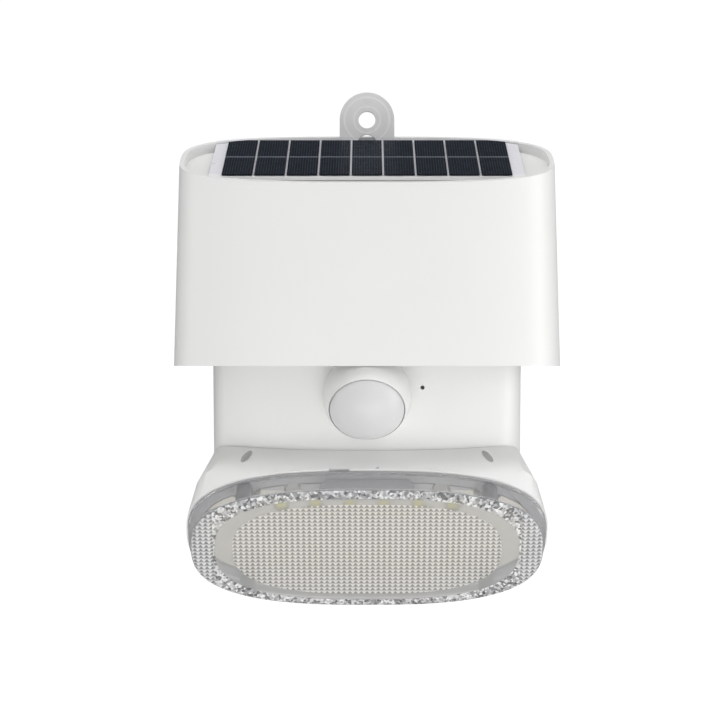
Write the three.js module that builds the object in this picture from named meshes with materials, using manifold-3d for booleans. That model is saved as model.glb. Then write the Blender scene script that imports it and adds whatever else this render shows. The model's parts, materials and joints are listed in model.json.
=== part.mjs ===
// Solar wall light with a motion sensor: a hood that carries a sloping solar panel,
// a body with a domed motion sensor, and a prismatic lamp head that tilts under the body.
// Millimetres. +X is right, +Z is up, the front faces -Y and the wall is the plane y = 0.
// The origin lies on the flat back of the hood, where it rests on the wall.
import * as THREE from "three";
import { mergeVertices } from "three/addons/utils/BufferGeometryUtils.js";
import Module from "manifold-3d";

const wasm = await Module();
wasm.setup();

// ---------- driving dimensions ----------
const gap = 0.3; // space left between pieces that touch
const around = 64; // facets round the hood, the body and the head
const insideFacets = 44;
const plumpness = 3.1; // superellipse exponent of the hood and body plan

// hood
const hoodBottom = -20; // height of the hood's lower edge
const hoodCentreY = -23.8;
const hoodHalfWidth = 60.5; // at the lower edge
const hoodHalfDepth = 25.9;
const hoodDraft = 0.026; // how much narrower each side gets for each millimetre up
const hoodWall = 2.0;
const rimHeight = 65.4; // height of the sloping rim above the lower edge, at the hood's centre
const rimSlope = THREE.MathUtils.degToRad(21.9);
const rimWidth = 1.5;
const trayDepth = 2.8; // from the rim down to the tray floor
const trayFloor = 2.0;

// solar panel, in the sloping frame of the rim
const panelWidth = 97.4;
const panelDepth = 39.6;
const panelCentre = 1.3; // towards the wall
const coverTop = 1.1; // the panel stands this far above the rim
const coverThickness = 0.6;
const cellThickness = 0.3;
const backsheetThickness = 1.2;
const padThickness = 0.6;
const cellCount = 9;
const cellPitch = 10.0;
const cellWidth = 9.4;
const cellDepth = 38.4;

// hanging tab
const tabWidth = 17.8;
const tabFrontY = -3.8;
const tabBackY = -1.9;
const tabHoleHeight = 80.0; // above the hood's lower edge
const tabHoleRadius = 2.75;
const tabLegWidth = 5.6;
const tabLegBottom = 61;

// body
const bodyCentreY = -17.5;
const bodyHalfWidth = 48.8; // at the hood's lower edge
const bodyHalfDepth = 17.7;
const bodyDraft = 0.01; // the body narrows downwards
const bodyWall = 2.0;
const bodyDrop = 30.4; // how far the body reaches below the hood's edge
const bodyBackY = -1.2;
const flangeLow = 5; // the flange sits this far up inside the hood
const flangeHigh = 7;
const flangeScrewX = 53.4;
const flangeScrewYs = [-13, -33];

// motion sensor
const ballRadius = 13.7;
const ballY = -37.3;
const ballDrop = 9.3; // centre of the ball below the hood's lower edge
const sensorTilt = THREE.MathUtils.degToRad(37);
const domeRadius = 13.5;
const domeWall = 1.0;
const domeBase = 5.6; // from the ball's centre along the sensor's axis
const domeRimRadius = 11.45;
const indicatorX = 17.2;
const indicatorDrop = 6.7;

// lamp head, in a frame whose origin is the middle of the housing's front rim
const headTilt = THREE.MathUtils.degToRad(28);
const headRimY = -35.8;
const headRimDrop = 51.2;
const headPlumpness = 2.7;
const headHalfWidth = 55.9;
const headHalfHeight = 22.4;
const headRearHalfWidth = 48.2;
const headRearPlumpness = 6.5; // the rear is boxier, so the top runs flat across
const headRearHalfHeight = 16.5;
const headRearLift = 5.4; // the rear sits higher, so the top runs straight and the belly rises
const headDepth = 22;
const headWall = 2.0;
const lensDepth = 10.5;
const lensWall = 1.8;
const lensHalfWidth = 54.0;
const lensHalfHeight = 21.2;
const lensScrewX = 37;
const lensScrewZ = 15.4;
const pocketRadius = 3.4;
const upperPocketFloor = 8.6; // behind the rim
const lowerPocketFloor = 3.4;
const dimpleHalfSize = [1.6, 4.2, 1.6];
const dimpleTurn = 0.35; // turned outwards
const dimpleY = 9.5; // behind the rim
const dimpleZ = 20.6;
const boardScrewX = 22.5;
const boardScrewZ = 14.6;
const browBackHalfWidth = 12.5; // a flap along the top of the reflector, wider in front
const browFrontHalfWidth = 14.5;
const browReach = 6; // in front of the rim
const browBack = 1.2; // it clears the gasket by starting this far in front of the rim
const browTop = 18.6;
const browBottom = 15.5;
const browRootTop = 16.8; // the root passes under the gasket to the reflector
const ledColumns = 6;
const ledRows = 2;
const ledPitchX = 10.5;
const ledPitchZ = 20;

// hinge under the body
const hingeY = -11.5;
const hingeDrop = 39;
const pinRadius = 2.0;
const pinClearance = 0.08;
const knuckleRadius = 4.6;
const knuckleHalfWidth = 23;
const lugThickness = 5;
const washerThickness = 0.8;

// mode button in the back of the body
const buttonX = 0;
const buttonDrop = 11;
const buttonRadius = 3.4;

const Z = (aboveHoodEdge) => hoodBottom + aboveHoodEdge;

// ---------- materials ----------
function plastic(color, roughness, metalness = 0, opacity = 1) {
  return new THREE.MeshStandardMaterial({
    color,
    roughness,
    metalness,
    opacity,
    transparent: opacity < 1,
  });
}
const whitePlastic = plastic(0xf1f1ef, 0.45);
const tabPlastic = plastic(0xd9d9d6, 0.4);
const clearPlastic = plastic(0xf4f7f8, 0.08, 0, 0.35);
const sensorPlastic = plastic(0xdedede, 0.5);
const cellBlue = plastic(0x111722, 0.3);
const backsheetWhite = plastic(0xe9ebee, 0.4);
const boardGreen = plastic(0x2c6b44, 0.5);
const boardWhite = plastic(0xf2efe4, 0.5);
const ledYellow = plastic(0xe6d84a, 0.4);
const ivoryPlastic = plastic(0xeadfc6, 0.5);
const rubberGrey = plastic(0x3a3a3b, 0.8);
const siliconeGrey = plastic(0xa8a8ab, 0.6);
const foamWhite = plastic(0xe2e2df, 0.9);
const steel = plastic(0x9b9da0, 0.35, 1);
const batterySleeve = plastic(0x3b74b4, 0.4);
const blackPlastic = plastic(0x1b1b1c, 0.5);

// ---------- solids ----------
function solid(geometry, place) {
  const bare = geometry.clone();
  bare.deleteAttribute("normal");
  bare.deleteAttribute("uv");
  if (place) bare.applyMatrix4(place);
  const merged = mergeVertices(bare, 1e-4);
  return new wasm.Manifold(
    new wasm.Mesh({
      numProp: 3,
      vertProperties: new Float32Array(merged.attributes.position.array),
      triVerts: new Uint32Array(merged.index.array),
    }),
  );
}

// A box between two corners.
function box(low, high, place) {
  const size = high.map((v, i) => v - low[i]);
  const shape = new THREE.BoxGeometry(...size);
  shape.translate(...high.map((v, i) => (v + low[i]) / 2));
  return solid(shape, place);
}

// A rod along x, y or z, centred on its two cross coordinates, between two ends.
function rod(axis, centre, radius, from, to, place, facets = 32, toRadius = radius) {
  const shape = new THREE.CylinderGeometry(toRadius, radius, to - from, facets);
  shape.translate(0, (to + from) / 2, 0);
  if (axis === "x") shape.rotateZ(-Math.PI / 2);
  if (axis === "z") shape.rotateX(Math.PI / 2);
  if (axis === "x") shape.translate(0, centre[0], centre[1]);
  if (axis === "y") shape.translate(centre[0], 0, centre[1]);
  if (axis === "z") shape.translate(centre[0], centre[1], 0);
  return solid(shape, place);
}

// A rounded outline in a plane: half width along x, half size along the other axis.
function outline(halfWidth, halfSize, power, facets = around) {
  return Array.from({ length: facets }, (_, i) => {
    const turn = (2 * Math.PI * i) / facets;
    const c = Math.cos(turn);
    const s = Math.sin(turn);
    return [
      halfWidth * Math.sign(c) * Math.abs(c) ** (2 / power),
      halfSize * Math.sign(s) * Math.abs(s) ** (2 / power),
    ];
  });
}

// Joins outlines into one closed skin. Each ring is a list of [x, y, z] points.
function loft(rings, place) {
  const count = rings[0].length;
  const points = rings.flat();
  const faces = [];
  for (let r = 0; r + 1 < rings.length; r += 1) {
    for (let i = 0; i < count; i += 1) {
      const j = (i + 1) % count;
      const a = r * count + i;
      const b = r * count + j;
      faces.push(a, b, b + count, a, b + count, a + count);
    }
  }
  const last = (rings.length - 1) * count;
  for (let i = 1; i + 1 < count; i += 1) {
    faces.push(0, i + 1, i);
    faces.push(last, last + i, last + i + 1);
  }
  const shape = new THREE.BufferGeometry();
  shape.setAttribute("position", new THREE.Float32BufferAttribute(points.flat(), 3));
  shape.setIndex(faces);
  return solid(shape, place);
}

// A column with a rounded plan. Each level is [z, half width, half depth].
function column(centreY, levels, facets = around) {
  return loft(
    levels.map(([z, halfWidth, halfDepth]) =>
      outline(halfWidth, halfDepth, plumpness, facets).map(([x, y]) => [x, centreY + y, z]),
    ),
  );
}

// A drum whose axis runs from back to front. Each level is [y, half width, half height],
// then how high its middle is and how boxy its outline is, where these differ.
function drum(levels, place, facets = around) {
  return loft(
    levels.map(([y, halfWidth, halfHeight, lift = 0, power = headPlumpness]) =>
      outline(halfWidth, halfHeight, power, facets).map(([x, z]) => [x, y, lift + z]),
    ),
    place,
  );
}

const group = new THREE.Group();

function add(name, shape, material) {
  const cut = shape.getMesh();
  const geometry = new THREE.BufferGeometry();
  geometry.setAttribute("position", new THREE.BufferAttribute(cut.vertProperties, 3));
  geometry.setIndex(new THREE.BufferAttribute(cut.triVerts, 1));
  geometry.computeVertexNormals();
  const mesh = new THREE.Mesh(geometry, material);
  mesh.name = name;
  group.add(mesh);
}

// ---------- frames ----------
const rimFrame = new THREE.Matrix4().makeRotationX(rimSlope);
rimFrame.setPosition(0, hoodCentreY, Z(rimHeight));
const sensorFrame = new THREE.Matrix4().makeRotationX(sensorTilt);
sensorFrame.setPosition(0, ballY, Z(-ballDrop));
const headFrame = new THREE.Matrix4().makeRotationX(headTilt);
headFrame.setPosition(0, headRimY, Z(-headRimDrop));

const slab = (low, high) => box([-90, -90, low], [90, 90, high], rimFrame);

// ---------- hood ----------
function hoodColumn(low, high, inset) {
  const level = (z) => [
    Z(z),
    hoodHalfWidth - hoodDraft * z - inset,
    hoodHalfDepth - hoodDraft * z - inset,
  ];
  return column(hoodCentreY, [level(low), level(high)]);
}

function hoodShell() {
  const beforeWall = (y) => box([-90, -90, Z(-20)], [90, y, Z(120)]);
  const roof = slab(0, 60);
  const outside = hoodColumn(0, 95, 0).subtract(roof).intersect(beforeWall(0));
  const cavity = hoodColumn(-1, 95, hoodWall)
    .subtract(slab(-trayDepth - trayFloor, 90))
    .intersect(beforeWall(-hoodWall));
  const tray = hoodColumn(30, 95, rimWidth)
    .intersect(slab(-trayDepth, 60))
    .intersect(beforeWall(-rimWidth));
  const postTop = slab(-trayDepth - trayFloor / 2, 90);
  let shell = outside.subtract(cavity).subtract(tray);
  for (const side of [-1, 1]) {
    for (const y of flangeScrewYs) {
      const spot = [side * flangeScrewX, y];
      const post = rod("z", spot, 3, Z(flangeHigh + gap), Z(80));
      shell = shell.add(post.subtract(postTop));
      shell = shell.subtract(rod("z", spot, 1.35, Z(flangeHigh - 1), Z(22)));
    }
    const inner = side * (tabWidth / 2 - tabLegWidth - gap);
    const outer = side * (tabWidth / 2 + gap);
    shell = shell.subtract(
      box(
        [Math.min(inner, outer), tabFrontY - gap, Z(60)],
        [Math.max(inner, outer), tabBackY + gap, Z(74)],
      ),
    );
  }
  return shell;
}
add("hood_shell", hoodShell(), whitePlastic);

// ---------- solar panel ----------
// A flat sheet in the tray, trimmed where the rounded rim or the hanging tab comes too near.
function sheet(middleX, width, depth, low, high, inset) {
  const flat = box(
    [middleX - width / 2, panelCentre - depth / 2, low],
    [middleX + width / 2, panelCentre + depth / 2, high],
    rimFrame,
  );
  const tabRoom = box(
    [-tabWidth / 2 - gap, tabFrontY - gap, Z(50)],
    [tabWidth / 2 + gap, 0, Z(90)],
  );
  return flat.intersect(hoodColumn(20, 95, rimWidth + inset)).subtract(tabRoom);
}
const cellTop = coverTop - coverThickness - gap;
const backsheetTop = cellTop - cellThickness - gap;
const padTop = backsheetTop - backsheetThickness - gap;
add(
  "solar_cover",
  sheet(0, panelWidth, panelDepth, coverTop - coverThickness, coverTop, gap),
  clearPlastic,
);
for (let i = 0; i < cellCount; i += 1) {
  const x = (i - (cellCount - 1) / 2) * cellPitch;
  const cell = sheet(x, cellWidth, cellDepth, cellTop - cellThickness, cellTop, 1);
  add(`solar_cell_${i + 1}`, cell, cellBlue);
}
add(
  "solar_backsheet",
  sheet(0, panelWidth, panelDepth, backsheetTop - backsheetThickness, backsheetTop, gap),
  backsheetWhite,
);
add(
  "panel_adhesive_pad",
  sheet(0, panelWidth - 10, panelDepth - 8, padTop - padThickness, padTop, 1),
  foamWhite,
);

// ---------- hanging tab ----------
function hangingTab() {
  const holeZ = Z(tabHoleHeight);
  const half = tabWidth / 2;
  const archHalf = half - tabLegWidth;
  const archTop = Z(75.2);
  let tab = rod("y", [0, holeZ], half, tabFrontY, tabBackY, undefined, 64);
  tab = tab.add(box([-half, tabFrontY, Z(tabLegBottom)], [half, tabBackY, holeZ]));
  tab = tab.subtract(
    box([-archHalf, tabFrontY - 1, Z(50)], [archHalf, tabBackY + 1, archTop - archHalf]),
  );
  tab = tab.subtract(
    rod("y", [0, archTop - archHalf], archHalf, tabFrontY - 1, tabBackY + 1),
  );
  return tab.subtract(
    rod("y", [0, holeZ], tabHoleRadius, tabFrontY - 1, tabBackY + 1, undefined, 48),
  );
}
add("hanging_tab", hangingTab(), tabPlastic);

// ---------- body ----------
function bodyColumn(low, high, inset, facets = around) {
  const level = (z) => [
    Z(z),
    bodyHalfWidth + bodyDraft * z - inset,
    bodyHalfDepth - inset,
  ];
  return column(bodyCentreY, [level(low), level(high)], facets);
}

const lugZ = Z(-hingeDrop);
const lugInner = knuckleHalfWidth + washerThickness + 2 * gap;

function bodyHousing() {
  const beforeBack = (y) => box([-90, -90, Z(-90)], [90, y, Z(60)]);
  const flange = hoodColumn(flangeLow, flangeHigh, hoodWall + 0.5).intersect(
    beforeBack(-hoodWall - 0.5),
  );
  const walls = bodyColumn(-bodyDrop, flangeHigh, 0)
    .intersect(beforeBack(bodyBackY))
    .subtract(box([-90, -hoodWall - 0.8, Z(-0.6)], [90, 5, Z(60)]));
  const ball = solid(new THREE.SphereGeometry(ballRadius, 38, 19).rotateY(0.04), sensorFrame);
  const belowFlange = box([-90, -90, Z(-40)], [90, 20, Z(flangeLow + 1)]);
  let body = walls.add(flange);
  const hollow = bodyColumn(-bodyDrop + bodyWall, 60, bodyWall, insideFacets).intersect(
    beforeBack(bodyBackY - bodyWall - 1.6),
  );
  body = body.subtract(hollow).add(ball.intersect(belowFlange));
  const bore = rod("y", [0, 0], 10.4, -domeBase - 1, 16, sensorFrame, 34);
  const seat = rod("y", [0, 0], domeRimRadius + gap, -20, -domeBase + gap, sensorFrame, 44);
  body = body.subtract(bore.add(seat));
  body = body.subtract(
    rod("y", [indicatorX, Z(-indicatorDrop)], 0.65, -50, -30, undefined, 20),
  );
  // opening and seat for the back cover
  body = body.subtract(box([-26.3, -2.6, Z(-19.8)], [26.3, 5, Z(-2.2)]));
  body = body.subtract(box([-20, -7, Z(-18)], [20, 5, Z(-4)]));
  for (const side of [-1, 1]) {
    const boss = rod("y", [side * 22.8, Z(-buttonDrop)], 2.9, -9, -2.6);
    body = body.add(boss);
    body = body.subtract(rod("y", [side * 22.8, Z(-buttonDrop)], 1.1, -8, 0));
    // seats of the wall pads
    body = body.subtract(rod("y", [side * 21, Z(-25.4)], 3.5, -1.8, 5));
    for (const y of flangeScrewYs) {
      body = body.subtract(rod("z", [side * flangeScrewX, y], 1.7, Z(0), Z(20)));
    }
    // hinge lug
    const near = Math.min(side * lugInner, side * (lugInner + lugThickness));
    const arm = box(
      [near, hingeY - knuckleRadius, lugZ],
      [near + lugThickness, hingeY + knuckleRadius, Z(-bodyDrop + 1)],
    );
    const eye = rod("x", [hingeY, lugZ], knuckleRadius, near, near + lugThickness);
    body = body.add(arm).add(eye);
  }
  const pinHole = rod("x", [hingeY, lugZ], pinRadius + pinClearance, -60, 60);
  return body.subtract(pinHole);
}
add("body_housing", bodyHousing(), whitePlastic);

for (const [i, side] of [-1, 1].entries()) {
  for (const [j, y] of flangeScrewYs.entries()) {
    const spot = [side * flangeScrewX, y];
    const head = rod("z", spot, 2.6, Z(flangeLow - gap - 1.6), Z(flangeLow - gap), undefined, 20);
    const shank = rod("z", spot, 1.25, Z(flangeLow - 1), Z(20), undefined, 12);
    const slot = rod("z", spot, 1.1, Z(flangeLow - gap - 3), Z(flangeLow - gap - 0.8), undefined, 4);
    add(`hood_screw_${2 * i + j + 1}`, head.add(shank).subtract(slot), steel);
  }
}

// ---------- back cover, mode button and wall pads ----------
const coverFace = bodyBackY - 0.2;
let backCover = box([-26, coverFace - 0.9, Z(-19.5)], [26, coverFace, Z(-2.5)]);
backCover = backCover.add(box([-19.7, -4.6, Z(-17.7)], [19.7, coverFace - 0.5, Z(-4.3)]));
backCover = backCover.subtract(box([-18, -6, Z(-16)], [18, coverFace - 1.2, Z(-6)]));
backCover = backCover.subtract(rod("y", [buttonX, Z(-buttonDrop)], buttonRadius + 0.25, -6, 2));
for (const side of [-1, 1]) {
  const spot = [side * 22.8, Z(-buttonDrop)];
  backCover = backCover.subtract(rod("y", spot, 1.4, -6, 2));
}
add("back_cover", backCover, whitePlastic);
for (const [i, side] of [-1, 1].entries()) {
  const spot = [side * 22.8, Z(-buttonDrop)];
  const head = rod("y", spot, 2.3, coverFace + 0.1, coverFace + 1.2, undefined, 20);
  const shank = rod("y", spot, 1.0, -7.6, coverFace + 0.2, undefined, 12);
  const slot = rod("y", spot, 0.9, coverFace + 0.7, coverFace + 3, undefined, 4);
  add(`back_screw_${i + 1}`, head.add(shank).subtract(slot), steel);
  const pad = rod("y", [side * 21, Z(-25.4)], 3.2, -1.5, 0);
  add(`wall_pad_${i + 1}`, pad, rubberGrey);
}
const buttonSpot = [buttonX, Z(-buttonDrop)];
const buttonCap = rod("y", buttonSpot, buttonRadius, -3.2, coverFace + 0.6)
  .add(rod("y", buttonSpot, 4.6, -4.4, -3.0))
  .subtract(rod("y", buttonSpot, 1.6, coverFace + 0.3, 2, undefined, 24));
add("mode_button", buttonCap, rubberGrey);
const switchBody = box(
  [buttonX - 3, -10.2, Z(-buttonDrop - 3)],
  [buttonX + 3, -7, Z(-buttonDrop + 3)],
).add(rod("y", buttonSpot, 1.7, -7.2, -5.6));
add("tact_switch", switchBody, blackPlastic);
add(
  "switch_board",
  box([buttonX - 17, -11.7, Z(-17)], [buttonX + 17, -10.5, Z(-5)]),
  boardGreen,
);

// ---------- motion sensor ----------
const wideBall = new THREE.SphereGeometry(domeRadius, 40, 20);
const innerBall = new THREE.SphereGeometry(domeRadius - domeWall, 30, 16);
const domeTrim = rod("y", [0, 0], domeRimRadius, -20, -domeBase, sensorFrame, 48);
add(
  "sensor_dome",
  solid(wideBall, sensorFrame).subtract(solid(innerBall, sensorFrame)).intersect(domeTrim),
  sensorPlastic,
);
add(
  "motion_sensor",
  rod("y", [0, 0], 4.1, -1.2, 2.6, sensorFrame).add(
    rod("y", [0, 0], 4.6, 2, 2.7, sensorFrame),
  ),
  steel,
);
add("sensor_board", rod("y", [0, 0], 9.9, 3, 4.2, sensorFrame, 40), boardGreen);
add(
  "indicator_pipe",
  rod("y", [indicatorX, Z(-indicatorDrop)], 0.9, -32.4, -28, undefined, 20),
  clearPlastic,
);

// ---------- electronics inside the hood ----------
const boardLow = flangeHigh + gap;
const mainBoard = box([-49.6, -37, Z(boardLow)], [49.6, -9, Z(boardLow + 1.6)]);
add("main_board", mainBoard, boardGreen);
const holderLow = boardLow + 1.6 + gap;
const cellZ = Z(holderLow + 1.5 + gap + 9.2);
const holder = box([-38, -33, Z(holderLow)], [38, -12, Z(holderLow + 9)]).subtract(
  rod("x", [-22.5, cellZ], 9.2 + gap, -35, 35, undefined, 48),
);
add("battery_holder", holder, blackPlastic);
const battery = rod("x", [-22.5, cellZ], 9.2, -34.2, 33, undefined, 48).add(
  rod("x", [-22.5, cellZ], 2.8, 32, 34.6, undefined, 24),
);
add("battery_cell", battery, batterySleeve);

// ---------- lamp head ----------
const lensScrewSpots = [-1, 1].flatMap((sx) =>
  [-1, 1].map((sz) => [sx * lensScrewX, sz * lensScrewZ]),
);
const pocketFloor = (spot) => (spot[1] > 0 ? upperPocketFloor : lowerPocketFloor);
const room = (spot, radius) => rod("y", spot, radius, -12, 12, headFrame, 16);
function headDrum(inset, from, to, facets = around) {
  const level = (y) => {
    const t = y / headDepth;
    const ease = 1 - (1 - t) * (1 - t) * 0.35 - 0.65 * (1 - t);
    return [
      y,
      headHalfWidth + (headRearHalfWidth - headHalfWidth) * ease - inset,
      headHalfHeight + (headRearHalfHeight - headHalfHeight) * ease - inset,
      headRearLift * ease,
      headPlumpness + (headRearPlumpness - headPlumpness) * Math.sqrt(Math.max(0, ease)),
    ];
  };
  const steps = 4;
  const levels = Array.from({ length: steps + 1 }, (_, i) =>
    level(to + ((from - to) * i) / steps),
  );
  return drum(levels, headFrame, facets);
}

const bodyKeepOut = (grow) =>
  bodyColumn(-bodyDrop - grow, 60, -grow, insideFacets).intersect(
    box([-90, -90, Z(-80)], [90, 10, Z(60)]),
  );

function headHousing() {
  let outside = headDrum(0, 0, headDepth).subtract(bodyKeepOut(0.5));
  let cavity = headDrum(headWall, -1, headDepth - headWall, insideFacets);
  cavity = cavity.subtract(bodyKeepOut(0.5 + headWall));
  for (const spot of lensScrewSpots) {
    const floor = pocketFloor(spot);
    cavity = cavity.subtract(
      rod("y", spot, pocketRadius + 1.4, Math.min(3.8, floor - 1.6), 30, headFrame),
    );
    outside = outside.subtract(rod("y", spot, pocketRadius, floor, 40, headFrame));
  }
  // hinge knuckle behind the housing
  const knuckle = rod("x", [hingeY, lugZ], knuckleRadius, -knuckleHalfWidth, knuckleHalfWidth);
  const web = box(
    [-knuckleHalfWidth, hingeY - 13, lugZ - knuckleRadius],
    [knuckleHalfWidth, hingeY, lugZ + knuckleRadius],
  );
  const lugRoom = [-1, 1].map((side) => {
    const middle = side * (lugInner + lugThickness / 2);
    const half = lugThickness / 2 + 2 * gap + washerThickness;
    return rod("x", [hingeY, lugZ], knuckleRadius + 1, middle - half, middle + half);
  });
  let housing = outside.add(knuckle.add(web).subtract(bodyKeepOut(0.5)));
  housing = housing.subtract(cavity).subtract(lugRoom[0]).subtract(lugRoom[1]);
  // shallow dimples in the top, over the upper screws
  for (const side of [-1, 1]) {
    const dimple = new THREE.SphereGeometry(1, 16, 10);
    dimple.scale(...dimpleHalfSize);
    dimple.rotateZ(side * dimpleTurn);
    dimple.translate(side * lensScrewX, dimpleY, dimpleZ);
    housing = housing.subtract(solid(dimple, headFrame));
  }
  // drain slot and drain hole in the top of the rim
  housing = housing.subtract(
    box([-11.6, -0.5, headHalfHeight - headWall - 0.5], [-5.4, 0.9, headHalfHeight + 1], headFrame),
  );
  housing = housing.subtract(rod("z", [3.2, 0.9], 0.55, 21, 24, headFrame, 12));
  for (const side of [-1, 1]) {
    const spot = [side * boardScrewX, boardScrewZ];
    const stand = rod("y", spot, 2.8, 3.6, headDepth, headFrame);
    housing = housing.add(stand.intersect(headDrum(0.6, 0, headDepth)).subtract(bodyKeepOut(1)));
    housing = housing.subtract(rod("y", spot, 1.0, 0, 9, headFrame, 16));
  }
  for (const spot of lensScrewSpots) {
    housing = housing.subtract(rod("y", spot, 1.5, 0, 12, headFrame, 24));
  }
  return housing.subtract(rod("x", [hingeY, lugZ], pinRadius + pinClearance, -60, 60));
}
add("head_housing", headHousing(), whitePlastic);

let gasket = drum(
  [-gap, -gap - 0.6].map((y) => [y, headHalfWidth - 0.6, headHalfHeight - 0.6]),
  headFrame,
).subtract(drum([[3, 50.6, 17.6], [-3, 50.6, 17.6]], headFrame, insideFacets));
for (const spot of lensScrewSpots) {
  gasket = gasket.subtract(room(spot, 1.7));
}
add("lens_gasket", gasket, siliconeGrey);

function lens() {
  const back = -1.2;
  const front = -lensDepth;
  const shape = (inset, y0, y1, y2) => [
    [y0, headHalfWidth - 0.4 - inset, headHalfHeight - 0.4 - inset],
    [y1, lensHalfWidth - inset, lensHalfHeight - inset],
    [y2, lensHalfWidth - 1.6 - inset, lensHalfHeight - 1.6 - inset],
  ];
  let cup = drum(shape(0, back, front + 1.4, front), headFrame).subtract(
    drum(shape(lensWall, back + 0.01, front + 1.4 + lensWall, front + lensWall), headFrame),
  );
  for (const spot of lensScrewSpots) {
    const boss = rod("y", spot, 3.0, front + 1, back, headFrame, 24);
    cup = cup.add(boss.intersect(drum(shape(0.4, back, front + 1.4, front), headFrame)));
    cup = cup.subtract(rod("y", spot, 1.35, front + 2.5, 5, headFrame, 20));
  }
  return cup;
}
add("head_lens", lens(), clearPlastic);

for (const [i, spot] of lensScrewSpots.entries()) {
  const seat = pocketFloor(spot) + gap;
  const head = rod("y", spot, 2.6, seat, seat + 1.7, headFrame, 20);
  const shank = rod("y", spot, 1.2, -7.2, seat + 0.2, headFrame, 12);
  const slot = rod("y", spot, 1.0, seat + 0.8, seat + 3, headFrame, 4);
  add(`lens_screw_${i + 1}`, head.add(shank).subtract(slot), steel);
}

const boardBack = 3.3;
const boardFront = 2.1;
const boardLevels = [boardBack, boardFront].map((y) => [y, 51.0, 17.7]);
const reflectorLevels = [boardFront - gap, -0.6].map((y) => [y, 50.2, 17.1]);
const browOutline = new THREE.Shape([
  new THREE.Vector2(-browFrontHalfWidth, -browReach),
  new THREE.Vector2(browFrontHalfWidth, -browReach),
  new THREE.Vector2(browBackHalfWidth, -browBack),
  new THREE.Vector2(-browBackHalfWidth, -browBack),
]);
const browHeight = browTop - browBottom;
const brow = new THREE.ExtrudeGeometry(browOutline, { depth: browHeight, bevelEnabled: false });
brow.translate(0, 0, browBottom);
const browRoot = box(
  [-browBackHalfWidth, -browBack - 0.2, browBottom],
  [browBackHalfWidth, 0.5, browRootTop],
  headFrame,
);
let ledBoard = drum(boardLevels, headFrame, insideFacets);
let reflector = drum(reflectorLevels, headFrame, insideFacets);
reflector = reflector.add(solid(brow, headFrame)).add(browRoot);
for (const sx of [-1, 1]) {
  ledBoard = ledBoard.subtract(room([sx * boardScrewX, boardScrewZ], 1.5));
  reflector = reflector.subtract(room([sx * boardScrewX, boardScrewZ], 2.9));
}
for (const spot of lensScrewSpots) {
  ledBoard = ledBoard.subtract(room(spot, 4.9));
  reflector = reflector.subtract(room(spot, 4.9));
}
let ledNumber = 0;
for (let row = 0; row < ledRows; row += 1) {
  for (let columnIndex = 0; columnIndex < ledColumns; columnIndex += 1) {
    const x = (columnIndex - (ledColumns - 1) / 2) * ledPitchX;
    const z = (row - (ledRows - 1) / 2) * ledPitchZ;
    ledNumber += 1;
    reflector = reflector.subtract(rod("y", [x, z], 2.6, -5, 5, headFrame, 12));
    const led = box(
      [x - 1.4, boardFront - gap - 0.8, z - 1.75],
      [x + 1.4, boardFront - gap, z + 1.75],
      headFrame,
    );
    add(`led_${ledNumber}`, led, ledYellow);
  }
}
add("led_board", ledBoard, boardWhite);
add("reflector", reflector, ivoryPlastic);
for (const [i, sx] of [-1, 1].entries()) {
  const spot = [sx * boardScrewX, boardScrewZ];
  const head = rod("y", spot, 2.2, 0.4, boardFront - gap, headFrame, 20);
  const shank = rod("y", spot, 0.85, 1, 8.4, headFrame, 12);
  add(`board_screw_${i + 1}`, head.add(shank), steel);
}

// ---------- hinge ----------
const pinEnd = lugInner + lugThickness;
add("hinge_pin", rod("x", [hingeY, lugZ], pinRadius, -pinEnd, pinEnd), steel);
for (const [i, side] of [-1, 1].entries()) {
  const inner = side * (knuckleHalfWidth + gap);
  const outer = side * (knuckleHalfWidth + gap + washerThickness);
  const washer = rod("x", [hingeY, lugZ], 4.2, Math.min(inner, outer), Math.max(inner, outer));
  const bore = rod("x", [hingeY, lugZ], pinRadius + gap, -60, 60);
  add(`hinge_washer_${i + 1}`, washer.subtract(bore), rubberGrey);
}

export default group;
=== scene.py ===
"""Looks of the solar wall light: materials, the prismatic lamp cover with its screw bosses, the
studio and the camera. Lengths are in metres, except names that end in MM and the places that
materials work with, which are in millimetres."""
import json
import math

import bpy
import numpy as np
from mathutils import Matrix, Vector


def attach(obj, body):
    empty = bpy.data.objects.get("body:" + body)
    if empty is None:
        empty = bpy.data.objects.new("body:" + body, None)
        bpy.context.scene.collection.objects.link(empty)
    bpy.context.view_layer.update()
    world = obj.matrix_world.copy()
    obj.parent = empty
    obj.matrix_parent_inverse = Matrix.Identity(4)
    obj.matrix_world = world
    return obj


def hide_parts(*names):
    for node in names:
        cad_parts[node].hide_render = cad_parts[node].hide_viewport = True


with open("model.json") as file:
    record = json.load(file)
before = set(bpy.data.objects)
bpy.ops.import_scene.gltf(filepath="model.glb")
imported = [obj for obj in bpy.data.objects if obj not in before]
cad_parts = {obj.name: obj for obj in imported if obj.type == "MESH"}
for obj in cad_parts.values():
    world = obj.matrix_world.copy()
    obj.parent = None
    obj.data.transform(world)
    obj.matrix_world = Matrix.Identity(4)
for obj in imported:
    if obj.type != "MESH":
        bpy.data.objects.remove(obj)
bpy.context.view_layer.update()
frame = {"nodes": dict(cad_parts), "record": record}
NODES = frame["nodes"]

MM = 0.001
HOOD_EDGE = -20 * MM

# lamp head frame: the middle of the housing's front rim, leaning forward
HEAD_TILT = math.radians(28)
HEAD_MIDDLE = (0, -35.8 * MM, HOOD_EDGE - 51.2 * MM)
HEAD = Matrix.Translation(HEAD_MIDDLE) @ Matrix.Rotation(HEAD_TILT, 4, "X")
HEAD_POWER = 2.7  # of the superellipse that outlines the head

HEAD_PLACE = "head_place"  # where a point lies in the lamp head's frame

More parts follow.
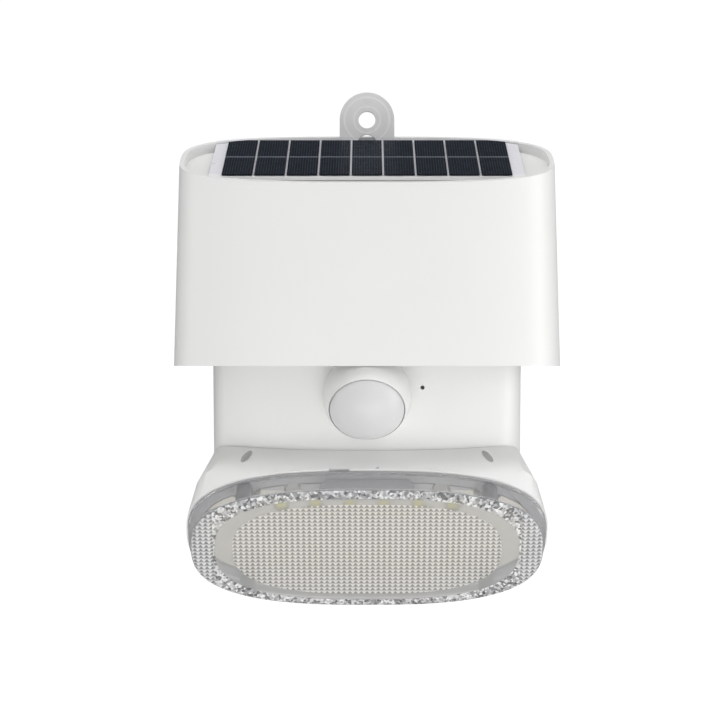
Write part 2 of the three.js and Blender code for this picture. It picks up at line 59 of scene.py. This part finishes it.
TAB_HOLE_MM = 60.0  # height of the hanging hole
TAB_RINGS_MM = (4.3, 7.3)  # radii of the raised rings round it
TAB_RING_HALF_WIDTH_MM = 0.35

RIM_PAINTED_SHADE_MM = 14.4  # above this height in the head's frame the reflector is painted grey, as painted shade
FLAP_PAINTED_SHADE_MM = -1.0  # and in front of this its flap is painted darker, as deeper painted shade

FINGER_PITCH_MM = 0.8
FINGER_HALF_WIDTH_MM = 0.07
PANEL_MIDDLE_MM = -23.8
BUSBAR_MM = 1.0  # behind the panel's middle
BUSBAR_HALF_WIDTH_MM = 0.3


# ---------- shader helpers ----------
class Shader:
    """Short calls for building one node material."""

    def __init__(self, name):
        self.material = bpy.data.materials.new(name)
        self.material.use_nodes = True
        self.tree = self.material.node_tree
        self.tree.nodes.clear()
        self.output = self.tree.nodes.new("ShaderNodeOutputMaterial")

    def node(self, kind, **settings):
        made = self.tree.nodes.new("ShaderNode" + kind)
        for key, value in settings.items():
            setattr(made, key, value)
        return made

    def link(self, source, target):
        self.tree.links.new(source, target)

    def plug(self, value, socket):
        if isinstance(value, bpy.types.NodeSocket):
            self.link(value, socket)
        else:
            socket.default_value = value

    def math(self, operation, a, b=0.0, c=0.0):
        made = self.node("Math", operation=operation)
        for value, socket in zip((a, b, c), made.inputs):
            self.plug(value, socket)
        return made.outputs[0]

    def place(self, stored=None):
        """x, y and z in millimetres, of the object's own frame or of a frame stored on the mesh."""
        if stored:
            source = self.node("Attribute", attribute_name=stored).outputs["Vector"]
        else:
            source = self.node("TexCoord").outputs["Object"]
        scaled = self.node("VectorMath", operation="SCALE")
        self.link(source, scaled.inputs[0])
        scaled.inputs["Scale"].default_value = 1000
        parts = self.node("SeparateXYZ")
        self.link(scaled.outputs[0], parts.inputs[0])
        return scaled.outputs[0], parts.outputs[0], parts.outputs[1], parts.outputs[2]

    def noise(self, vector, scale, detail=3.0):
        made = self.node("TexNoise")
        self.link(vector, made.inputs["Vector"])
        made.inputs["Scale"].default_value = scale
        made.inputs["Detail"].default_value = detail
        return made.outputs["Fac"]

    def mix(self, factor, a, b):
        made = self.node("Mix", data_type="RGBA")
        self.plug(factor, made.inputs["Factor"])
        for value, socket in ((a, made.inputs["A"]), (b, made.inputs["B"])):
            self.plug((*value, 1) if isinstance(value, tuple) else value, socket)
        return made.outputs["Result"]

    def mix_value(self, factor, a, b):
        """a where the factor is 0 and b where it is 1."""
        made = self.node("Mix", data_type="FLOAT")
        self.plug(factor, made.inputs["Factor"])
        self.plug(a, made.inputs["A"])
        self.plug(b, made.inputs["B"])
        return made.outputs["Result"]

    def bump(self, height, distance, normal=None):
        made = self.node("Bump")
        self.plug(height, made.inputs["Height"])
        made.inputs["Distance"].default_value = distance
        made.inputs["Strength"].default_value = 1.0
        if normal is not None:
            self.link(normal, made.inputs["Normal"])
        return made.outputs[0]

    def surface(self, **sockets):
        made = self.node("BsdfPrincipled")
        for name, value in sockets.items():
            socket = made.inputs[name.replace("_", " ")]
            is_color = isinstance(value, tuple) and socket.type == "RGBA"
            self.plug((*value, 1) if is_color else value, socket)
        return made.outputs[0]

    def lets_light_through(self, shader):
        """The shader as the eye meets it, and plain thin air to shadow and diffuse rays."""
        air = self.node("BsdfTransparent")
        air.inputs["Color"].default_value = (0.93, 0.93, 0.93, 1)
        path = self.node("LightPath")
        rays = path.outputs["Is Shadow Ray"], path.outputs["Is Diffuse Ray"]
        either = self.node("MixShader")
        self.link(self.math("MAXIMUM", *rays), either.inputs[0])
        self.link(shader, either.inputs[1])
        self.link(air.outputs[0], either.inputs[2])
        return either.outputs[0]

    def done(self, shader):
        self.link(shader, self.output.inputs["Surface"])
        return self.material


def plastic(name, color, roughness, shade=0.03, grain=0.012, translucent=0.0):
    """A moulded plastic: faint mottling, fine spark-erosion grain, and a polish that varies."""
    s = Shader(name)
    vector, _, _, _ = s.place()
    cloud = s.noise(vector, 0.035, 4)
    darker = tuple(c * (1 - shade) for c in color)
    base = s.mix(cloud, darker, color)
    fine = s.noise(vector, 2.2, 2)
    polish = s.math("MULTIPLY_ADD", s.noise(vector, 0.09, 3), 0.12, roughness - 0.06)
    shader = s.surface(
        Base_Color=base,
        Roughness=polish,
        IOR=1.5,
        Normal=s.bump(fine, grain * MM),
        Subsurface_Weight=translucent,
        Subsurface_Radius=(3 * MM, 3 * MM, 3 * MM),
    )
    return s.done(shader)


def tab_plastic():
    """Milky plastic with two raised rings pressed round the hanging hole, painted lighter as a painted
    highlight along their ridges.
    """
    s = Shader("tab_plastic")
    vector, x, y, z = s.place()
    above = s.math("SUBTRACT", z, TAB_HOLE_MM)
    squares = s.math("ADD", s.math("MULTIPLY", x, x), s.math("MULTIPLY", above, above))
    radius = s.math("SQRT", squares)
    rings = s.math("ADD", *(s.math("COMPARE", radius, r, TAB_RING_HALF_WIDTH_MM) for r in TAB_RINGS_MM))
    milky = s.mix(s.noise(vector, 0.12, 3), (0.74, 0.74, 0.74), (0.80, 0.80, 0.80))
    return s.done(
        s.surface(
            # painted highlight: the rings are painted near white over the milky plastic
            Base_Color=s.mix(s.math("MULTIPLY", rings, 0.55), milky, (0.93, 0.93, 0.93)),
            Roughness=s.math("MULTIPLY_ADD", s.noise(vector, 0.2), 0.15, 0.22),
            Normal=s.bump(rings, 0.3 * MM),
            Subsurface_Weight=0.3,
            Subsurface_Radius=(3 * MM, 3 * MM, 3 * MM),
        )
    )


def reflector_plastic():
    """Warm ivory behind the lamp's face, with painted shade along its top: grey on the rim and darker
    on the flap.
    """
    s = Shader("reflector")
    vector, _, y, z = s.place()
    forward = s.math("SUBTRACT", y, HEAD.translation.y / MM)
    upward = s.math("SUBTRACT", z, HEAD.translation.z / MM)
    lean, rise = math.cos(HEAD_TILT), math.sin(HEAD_TILT)
    depth = s.math("ADD", s.math("MULTIPLY", forward, lean), s.math("MULTIPLY", upward, rise))
    height = s.math("SUBTRACT", s.math("MULTIPLY", upward, lean), s.math("MULTIPLY", forward, rise))
    # painted shade: grey along the rim and darker on the flap in front of it
    in_rim_painted_shade = s.math("GREATER_THAN", height, RIM_PAINTED_SHADE_MM)
    in_flap_painted_shade = s.math("LESS_THAN", depth, FLAP_PAINTED_SHADE_MM)
    ivory = s.mix(s.noise(vector, 0.06, 4), (0.78, 0.74, 0.64), (0.84, 0.80, 0.71))
    plate_with_painted_shade = s.mix(in_rim_painted_shade, ivory, (0.45, 0.45, 0.45))
    return s.done(
        s.surface(
            Base_Color=s.mix(in_flap_painted_shade, plate_with_painted_shade, (0.26, 0.26, 0.27)),
            Roughness=s.math("MULTIPLY_ADD", s.noise(vector, 0.2), 0.15, 0.35),
            Normal=s.bump(s.noise(vector, 1.8, 2), 0.015 * MM),
        )
    )


def metal(name, color, roughness):
    s = Shader(name)
    vector, _, _, _ = s.place()
    polish = s.math("MULTIPLY_ADD", s.noise(vector, 1.5, 4), 0.2, roughness - 0.1)
    return s.done(
        s.surface(
            Base_Color=s.mix(s.noise(vector, 0.8), color, tuple(c * 0.8 for c in color)),
            Metallic=1.0,
            Roughness=polish,
            Normal=s.bump(s.noise(vector, 6, 2), 0.01 * MM),
        )
    )


def clear_plastic():
    """Clear moulded plastic that lets lamp and sky light through to what lies behind it."""
    s = Shader("clear_plastic")
    vector, _, _, _ = s.place()
    normal = s.bump(s.noise(vector, 0.35, 2), 0.05 * MM)
    glass = s.surface(
        Base_Color=(1.0, 1.0, 1.0),
        Roughness=0.03,
        IOR=1.49,
        Transmission_Weight=1.0,
        Normal=normal,
    )
    return s.done(s.lets_light_through(glass))


# ---------- the lamp cover's prisms ----------
COLUMN_MM = 1.75
CHEVRON_MM = 1.3
PYRAMID_MM = 2.3
FACE_HALF_MM = (54.0, 21.2)
FACE_FRONT_MM = -9.7  # the moulded pattern is on the face in front of this, and the skirt is plain
MIDDLE_RING = 0.76  # the zigzag columns end here, as a share of the way to the outline
EDGE_RING = 0.86  # and the edge band starts here
SKIRT_HAZE = 0.16  # how milky the plain skirt is
SIDE_BAND_MM = 47.0  # past this the edge band carries small teeth instead of facets
SLANT = 0.8  # of the teeth and pyramids


def ring_of(s, x, z):
    """0 at the middle of the face and 1 at its edge, following the rounded outline."""
    parts = [
        s.math("POWER", s.math("ABSOLUTE", s.math("DIVIDE", v, half)), HEAD_POWER)
        for v, half in zip((x, z), FACE_HALF_MM)
    ]
    return s.math("POWER", s.math("ADD", *parts), 1 / HEAD_POWER)


def chevrons(s, x, z):
    """0 to 1 over each tooth of the zigzag columns."""
    across = s.math("PINGPONG", x, COLUMN_MM / 2)
    slanted = s.math("ADD", z, s.math("MULTIPLY", across, SLANT))
    return s.math("DIVIDE", s.math("PINGPONG", slanted, CHEVRON_MM / 2), CHEVRON_MM / 2)


def columns(s, x):
    """0 at one side of each column and 1 at the other."""
    return s.math("DIVIDE", s.math("PINGPONG", x, COLUMN_MM / 2), COLUMN_MM / 2)


def pyramids(s, x, z):
    """0 to 1 over each four-sided pyramid of the edge band."""
    slanted = s.math("MULTIPLY", z, SLANT)
    sides = [s.math("PINGPONG", s.math(way, x, slanted), PYRAMID_MM / 2) for way in ("ADD", "SUBTRACT")]
    return s.math("DIVIDE", s.math("ADD", *sides), PYRAMID_MM)


def prismatic_plastic():
    """Clear plastic moulded with zigzag columns, a plain ring and a band of pyramids."""
    s = Shader("prismatic_plastic")
    vector, x, y, z = s.place(HEAD_PLACE)
    ring = ring_of(s, x, z)
    on_face = s.math("LESS_THAN", y, FACE_FRONT_MM)
    in_middle = s.math("MULTIPLY", s.math("LESS_THAN", ring, MIDDLE_RING), on_face)
    at_edge = s.math("MULTIPLY", s.math("GREATER_THAN", ring, EDGE_RING), on_face)
    teeth = s.math("MULTIPLY", chevrons(s, x, z), 0.55)
    shape = s.math("ADD", teeth, s.math("MULTIPLY", columns(s, x), 0.45))
    crisp = s.node("MapRange")
    s.link(shape, crisp.inputs["Value"])
    crisp.inputs["From Min"].default_value = 0.25
    crisp.inputs["From Max"].default_value = 0.72
    tooth = crisp.outputs[0]
    point = pyramids(s, x, z)
    height = s.math("ADD", s.math("MULTIPLY", tooth, in_middle), s.math("MULTIPLY", point, at_edge))
    ripple = s.bump(s.noise(vector, 0.35, 2), 0.03 * MM)
    normal = s.bump(height, 0.3 * MM, normal=ripple)
    glass = s.surface(
        Base_Color=(0.88, 0.88, 0.88),
        Roughness=s.mix_value(on_face, 0.07, 0.16),
        IOR=1.49,
        Transmission_Weight=1.0,
        Normal=normal,
    )

    # painted light and shade of the prisms, on a diffuse mixed into the glass: each tooth painted lit
    # on one side and shaded on the other, tinted cream over the lamps as a painted reflection of the
    # LEDs, and grey and patchy in the band as painted glints
    tooth_painted_light = s.mix(tooth, (0.25, 0.245, 0.235), (0.77, 0.75, 0.71))
    facet = s.node("TexVoronoi")
    s.link(vector, facet.inputs["Vector"])
    facet.inputs["Scale"].default_value = 1.25
    shade = s.node("SeparateColor")
    s.link(facet.outputs["Color"], shade.inputs[0])
    # painted glints and shade on the band's pyramids, and painted light and shade on the side teeth
    band_painted_glints = s.mix(s.math("POWER", shade.outputs[0], 1.3), (0.10, 0.10, 0.105), (1.0, 1.0, 1.0))
    side_teeth_painted_light = s.mix(tooth, (0.20, 0.20, 0.205), (0.80, 0.80, 0.80))
    at_side = s.math("GREATER_THAN", s.math("ABSOLUTE", x), SIDE_BAND_MM)
    band = s.mix(at_side, band_painted_glints, side_teeth_painted_light)
    face_painted_light = s.mix(at_edge, s.mix(in_middle, (0.46, 0.46, 0.45), tooth_painted_light), band)
    tone = s.mix(on_face, (0.60, 0.60, 0.61), face_painted_light)
    haze = s.node("BsdfDiffuse")
    s.plug(tone, haze.inputs["Color"])
    in_pattern = s.math("MAXIMUM", in_middle, at_edge)
    on_cover = s.math("MULTIPLY_ADD", in_pattern, 0.24, 0.52)
    amount = s.mix_value(on_face, SKIRT_HAZE, on_cover)

    moulded = s.node("MixShader")
    s.link(amount, moulded.inputs[0])
    s.link(glass, moulded.inputs[1])
    s.link(haze.outputs[0], moulded.inputs[2])
    return s.done(s.lets_light_through(moulded.outputs[0]))


# ---------- solar cells ----------
def cell_material():
    """Dark blue silicon with fine grid fingers along the cell and one busbar across it."""
    s = Shader("solar_cell")
    vector, x, y, _ = s.place()
    fingers = s.math("PINGPONG", x, FINGER_PITCH_MM / 2)
    on_finger = s.math("LESS_THAN", fingers, FINGER_HALF_WIDTH_MM)
    along = s.math("SUBTRACT", y, PANEL_MIDDLE_MM)
    on_bus = s.math("COMPARE", along, BUSBAR_MM, BUSBAR_HALF_WIDTH_MM)
    silicon = s.mix(s.noise(vector, 0.15, 3), (0.003, 0.005, 0.010), (0.006, 0.010, 0.018))
    lined = s.mix(on_finger, silicon, (0.055, 0.065, 0.08))
    color = s.mix(on_bus, lined, (0.24, 0.26, 0.29))
    return s.done(
        s.surface(
            Base_Color=color,
            Roughness=s.math("MULTIPLY_ADD", s.noise(vector, 0.4), 0.2, 0.3),
            Specular_IOR_Level=0.04,
            Normal=s.bump(s.math("ADD", on_finger, on_bus), 0.02 * MM),
        )
    )


def film_material():
    """The panel's clear cover: a faintly dimpled film with almost no shine."""
    s = Shader("cover_film")
    vector, _, _, _ = s.place()
    gloss = s.node("BsdfGlossy")
    gloss.inputs["Roughness"].default_value = 0.35
    s.link(s.bump(s.noise(vector, 3, 2), 0.02 * MM), gloss.inputs["Normal"])
    air = s.node("BsdfTransparent")
    air.inputs["Color"].default_value = (0.97, 0.97, 0.98, 1)
    both = s.node("MixShader")
    both.inputs[0].default_value = 0.003
    s.link(air.outputs[0], both.inputs[1])
    s.link(gloss.outputs[0], both.inputs[2])
    return s.done(both.outputs[0])


MATERIALS = {
    "white_plastic": plastic("white_plastic", (0.83, 0.83, 0.82), 0.38),
    "tab_plastic": tab_plastic(),
    "clear_plastic": clear_plastic(),
    "solar_cell": cell_material(),
    "backsheet": plastic("backsheet", (0.92, 0.92, 0.93), 0.3),
    "foam": plastic("foam", (0.8, 0.8, 0.78), 0.9, grain=0.15),
    "sensor_lens": plastic("sensor_lens", (0.72, 0.72, 0.72), 0.35, translucent=0.5),
    "circuit_board": plastic("circuit_board", (0.03, 0.16, 0.07), 0.4, shade=0.3),
    "led_board": plastic("led_board", (0.85, 0.82, 0.74), 0.45),
    "led": plastic("led", (0.85, 0.8, 0.18), 0.4, shade=0.15),
    "reflector": reflector_plastic(),
    "silicone": plastic("silicone", (0.40, 0.40, 0.41), 0.5),
    "rubber": plastic("rubber", (0.05, 0.05, 0.052), 0.75, shade=0.3, grain=0.05),
    "steel": metal("steel", (0.62, 0.62, 0.63), 0.35),
    "battery_sleeve": plastic("battery_sleeve", (0.03, 0.12, 0.38), 0.3, shade=0.2),
    "black_plastic": plastic("black_plastic", (0.015, 0.015, 0.016), 0.5, shade=0.3),
}


# ---------- CAD nodes ----------
slot_of = {part["node"]: part["material_slot"] for part in frame["record"]["subparts"]}


def soften(node, width):
    """Rounds a node's hard edges and smooths its curved faces."""
    mesh = node.data
    if "custom_normal" in mesh.attributes:
        mesh.attributes.remove(mesh.attributes["custom_normal"])
    mesh.shade_smooth()
    weld = node.modifiers.new("weld", "WELD")
    weld.merge_threshold = 2e-6
    bevel = node.modifiers.new("edges", "BEVEL")
    bevel.width = width
    bevel.segments = 3
    bevel.limit_method = "ANGLE"
    bevel.angle_limit = math.radians(32)
    bevel.harden_normals = True
    bevel.use_clamp_overlap = True


for name, node in NODES.items():
    slot = slot_of[name]
    node.data.materials.clear()
    node.data.materials.append(MATERIALS[slot])
    if not name.startswith(("solar_cell", "led_")):
        soften(node, 0.15 * MM)
NODES["solar_cover"].data.materials[0] = film_material()


# ---------- meshes made here ----------
def mesh_object(name, vertices, faces, material, smooth=True):
    mesh = bpy.data.meshes.new(name)
    mesh.from_pydata([tuple(v) for v in vertices], [], [tuple(f) for f in faces])
    mesh.update()
    if smooth:
        mesh.shade_smooth()
    mesh.materials.append(material)
    made = bpy.data.objects.new(name, mesh)
    bpy.context.scene.collection.objects.link(made)
    return made


def head_mesh(name, vertices, faces, material):
    """A mesh given in the lamp head's frame, which it keeps for its material."""
    made = mesh_object(name, [HEAD @ Vector(v) for v in vertices], faces, material)
    stored = made.data.attributes.new(HEAD_PLACE, "FLOAT_VECTOR", "POINT")
    stored.data.foreach_set("vector", [value for v in vertices for value in v])
    return made


def outline(half_x, half_z, power, count):
    turn = np.linspace(0, 2 * math.pi, count, endpoint=False)
    c, s = np.cos(turn), np.sin(turn)
    return (
        half_x * np.sign(c) * np.abs(c) ** (2 / power),
        half_z * np.sign(s) * np.abs(s) ** (2 / power),
    )


def lofted(rings):
    """Vertices and faces of a skin through rings of equal length; both ends are closed."""
    count = len(rings[0])
    vertices = [point for ring in rings for point in ring]
    faces = []
    for r in range(len(rings) - 1):
        for i in range(count):
            j = (i + 1) % count
            a, b = r * count + i, r * count + j
            faces.append((a, b, b + count, a + count))
    faces.append(tuple(reversed(range(count))))
    last = (len(rings) - 1) * count
    faces.append(tuple(range(last, last + count)))
    return vertices, faces


def head_ring(y, half_x, half_z, count=360):
    x, z = outline(half_x, half_z, HEAD_POWER, count)
    return [(a * MM, y * MM, b * MM) for a, b in zip(x, z)]


# each level of the cover's skirt: depth in the head's frame, half width and half height
COVER_BACK_MM = (-1.2, 55.4, 21.9)
COVER_FRONT_MM = (-8.7, 53.9, 21.05)
COVER_SHOULDER_MM = 1.7
COVER_WALL_MM = 1.8
BOSS_X_MM = 37.0
BOSS_Z_MM = 15.4
BOSS_LEVELS_MM = ((-1.3, 2.2), (-1.5, 2.4), (-8.5, 2.5))  # depth and radius


def shoulder_level(turn):
    """A level of the rounded shoulder, from the skirt's front at turn 0 to the face at 90 degrees."""
    depth, half_x, half_z = COVER_FRONT_MM
    inwards = COVER_SHOULDER_MM * (1 - math.cos(turn))
    return depth - COVER_SHOULDER_MM * math.sin(turn), half_x - inwards, half_z - inwards


def lamp_cover():
    """The clear cover: a drafted skirt with a rounded shoulder, hollow at the back."""
    edge = [COVER_BACK_MM, COVER_FRONT_MM]
    shoulder = [shoulder_level(turn) for turn in np.radians(np.arange(15, 91, 15))]
    wall = COVER_WALL_MM
    inner = [(y + wall, hx - wall, hz - wall) for y, hx, hz in reversed(shoulder)]
    inner += [(y, hx - wall, hz - wall) for y, hx, hz in reversed(edge)]
    rings = [head_ring(*level) for level in edge + shoulder + inner]
    count = len(rings[0])
    vertices = [point for ring in rings for point in ring]
    faces = []
    for r in range(len(rings)):
        if r == len(edge) + len(shoulder) - 1:
            continue
        nxt = (r + 1) % len(rings)
        for i in range(count):
            j = (i + 1) % count
            faces.append((r * count + i, r * count + j, nxt * count + j, nxt * count + i))
    front = len(edge) + len(shoulder) - 1
    faces.append(tuple(range(front * count, front * count + count)))
    faces.append(tuple(reversed(range((front + 1) * count, (front + 2) * count))))
    cover = head_mesh("lamp_cover", vertices, faces, prismatic_plastic())
    cover.data.set_sharp_from_angle(angle=math.radians(40))
    return cover


def screw_boss(name, x, z, material):
    """A solid post behind the cover's face that takes one lens screw."""
    turn = np.linspace(0, 2 * math.pi, 48, endpoint=False)
    rings = [
        [((x + r * math.cos(t)) * MM, y * MM, (z + r * math.sin(t)) * MM) for t in turn]
        for y, r in BOSS_LEVELS_MM
    ]
    vertices, faces = lofted(rings)
    return head_mesh(name, vertices, faces, material)


cover = lamp_cover()
# the bosses are painted darker than the cover round them, as painted shade on the solid posts
boss_painted_shade = plastic("boss_painted_shade_plastic", (0.22, 0.22, 0.23), 0.25, translucent=0.2)
bosses = [
    screw_boss(f"cover_boss_{i + 1}", sx * BOSS_X_MM, sz * BOSS_Z_MM, boss_painted_shade)
    for i, (sx, sz) in enumerate([(-1, -1), (-1, 1), (1, -1), (1, 1)])
]
for piece in [cover, *bosses]:
    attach(piece, "lamp_head")
    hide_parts("head_lens")


# ---------- studio ----------
FRONT_GLOW = 0.52  # the studio is bright in front of the light
BACK_GLOW = 0.22  # and dimmer behind it, which draws its edges
PALE = 1.05  # the white that the eye meets past the light


def lamp(name, where, towards, size, power):
    data = bpy.data.lights.new(name, "AREA")
    data.shape = "RECTANGLE"
    data.size, data.size_y = size
    data.energy = power
    made = bpy.data.objects.new(name, data)
    made.location = where
    made.rotation_euler = (Vector(towards) - Vector(where)).to_track_quat("-Z", "Y").to_euler()
    bpy.context.scene.collection.objects.link(made)


def sky():
    """A glow that is bright in front and dark behind, and plain white where the eye meets it."""
    world = bpy.data.worlds.new("studio")
    bpy.context.scene.world = world
    world.use_nodes = True
    tree = world.node_tree

    def join(operation, a, b):
        made = tree.nodes.new("ShaderNodeMath")
        made.operation = operation
        for value, socket in zip((a, b), made.inputs):
            if isinstance(value, bpy.types.NodeSocket):
                tree.links.new(value, socket)
            else:
                socket.default_value = value
        return made.outputs[0]

    where = tree.nodes.new("ShaderNodeTexCoord")
    parts = tree.nodes.new("ShaderNodeSeparateXYZ")
    tree.links.new(where.outputs["Generated"], parts.inputs[0])
    towards_back = parts.outputs["Y"]
    fade = tree.nodes.new("ShaderNodeMapRange")
    fade.inputs["From Min"].default_value = -0.3
    fade.inputs["From Max"].default_value = 0.35
    fade.inputs["To Min"].default_value = FRONT_GLOW
    fade.inputs["To Max"].default_value = BACK_GLOW
    tree.links.new(towards_back, fade.inputs["Value"])

    path = tree.nodes.new("ShaderNodeLightPath")
    behind = join("MULTIPLY", join("GREATER_THAN", towards_back, 0.0), 0.25)
    through = join("MULTIPLY", path.outputs["Is Transmission Ray"], behind)
    seen = join("MAXIMUM", path.outputs["Is Camera Ray"], through)
    lit = join("MULTIPLY", fade.outputs[0], join("SUBTRACT", 1.0, seen))
    background = tree.nodes["Background"]
    background.inputs["Color"].default_value = (1, 1, 1, 1)
    tree.links.new(join("ADD", lit, join("MULTIPLY", seen, PALE)), background.inputs["Strength"])


def floor():
    """A pale floor far enough below the light to leave every side of it in view."""
    paper = Shader("floor_paper")
    vector, _, _, _ = paper.place()
    tone = paper.mix(paper.noise(vector, 0.01), (0.985, 0.985, 0.985), (1, 1, 1))
    glow = paper.node("Emission")
    paper.link(tone, glow.inputs["Color"])
    glow.inputs["Strength"].default_value = PALE
    paper.done(glow.outputs[0])
    size, low = 6.0, -1.2
    corners = [(-size, -size, low), (size, -size, low), (size, size, low), (-size, size, low)]
    made = mesh_object("floor", corners, [(0, 1, 2, 3)], paper.material, smooth=False)
    made.visible_diffuse = False
    made.visible_glossy = False


def studio():
    sky()
    floor()
    target = (0, -0.03, -0.01)
    lamp("front_softbox", (0, -1.6, 0.05), target, (1.6, 1.1), 1.0)
    lamp("left_strip", (-0.9, -0.12, 0.05), target, (0.25, 0.9), 0.9)
    lamp("right_softbox", (1.0, -0.28, 0.0), target, (0.4, 0.9), 4.0)
    lamp("low_softbox", (0, -0.9, -0.6), target, (1.4, 0.6), 6.0)
    lamp("top_softbox", (0, -0.1, 0.9), target, (1.8, 0.5), 6.5)


studio()


# ---------- camera ----------
SENSOR_WIDTH_MM = 36
FOCAL_LENGTH_MM = 104.0
SHIFT = (-0.0097222222, 0.0083333333)  # of the lens, in picture widths
CAMERA_DISTANCE = 0.6795  # from the wall


def camera():
    """Eye level with the hood's lower edge, looking straight at the wall."""
    data = bpy.data.cameras.new("camera")
    data.sensor_width = SENSOR_WIDTH_MM
    data.lens = FOCAL_LENGTH_MM
    data.shift_x, data.shift_y = SHIFT
    data.dof.use_dof = False
    data.clip_start, data.clip_end = 0.05, 20
    made = bpy.data.objects.new("camera", data)
    made.location = (0, -CAMERA_DISTANCE, HOOD_EDGE)
    made.rotation_euler = (math.pi / 2, 0, 0)
    bpy.context.scene.collection.objects.link(made)
    bpy.context.scene.camera = made


camera()
scene = bpy.context.scene
scene.view_settings.view_transform = "Standard"
